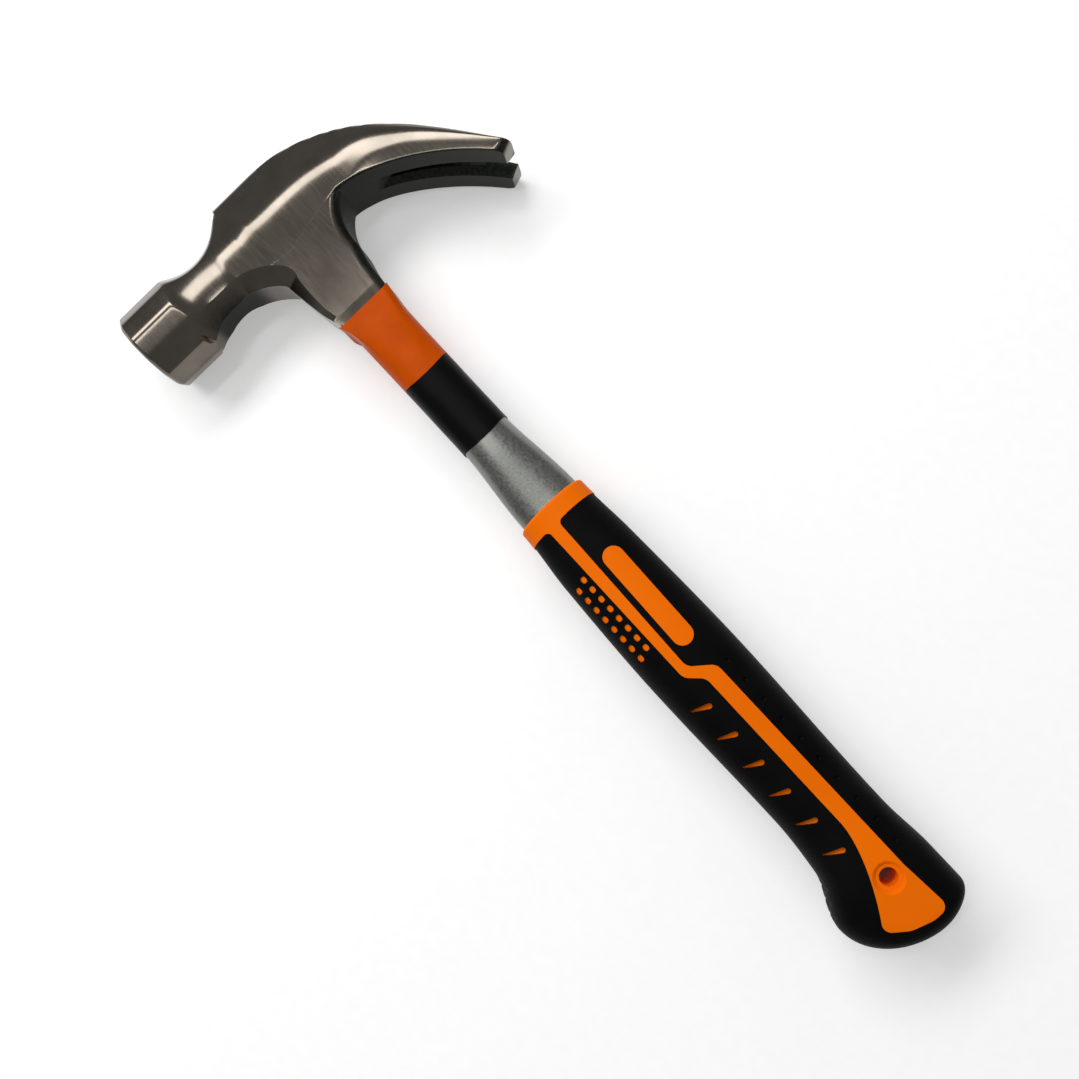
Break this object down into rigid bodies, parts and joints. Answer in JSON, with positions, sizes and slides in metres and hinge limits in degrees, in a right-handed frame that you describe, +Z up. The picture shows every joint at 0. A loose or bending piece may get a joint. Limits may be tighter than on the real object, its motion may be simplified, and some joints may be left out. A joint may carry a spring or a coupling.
{
  "type": "claw hammer",
  "caption": "Claw hammer with a twelve-sided poll, curved nail-pulling claws, steel tube shank and soft two-colour grip with a hang hole.",
  "frame": {"origin": "middle of the hammer's box in plan, at the height of the surface that it lies on", "axes": "+X along the handle towards the head, +Y the way the striking face looks, +Z up from the side that the hammer lies on"},
  "size_m": [0.3416, 0.1442, 0.0328],
  "materials": {
    "forged_steel": "polished forged steel, clear coated",
    "weld_steel": "weld bead ground flush",
    "satin_tube": "satin blasted steel",
    "label_film": "glossy wrap film, orange above and black below, bare",
    "plug_plastic": "plain black moulded plastic",
    "orange_plastic": "hard orange moulded plastic, satin",
    "black_rubber": "soft black rubber, fine matt"
  },
  "bodies": {
    "root": {"head": "forged_steel", "neck_weld": "weld_steel", "shank_tube": "satin_tube", "label": "label_film", "tube_plug": "plug_plastic", "grip_core": "orange_plastic", "grip_sleeve": "black_rubber"}
  },
  "joints": []
}
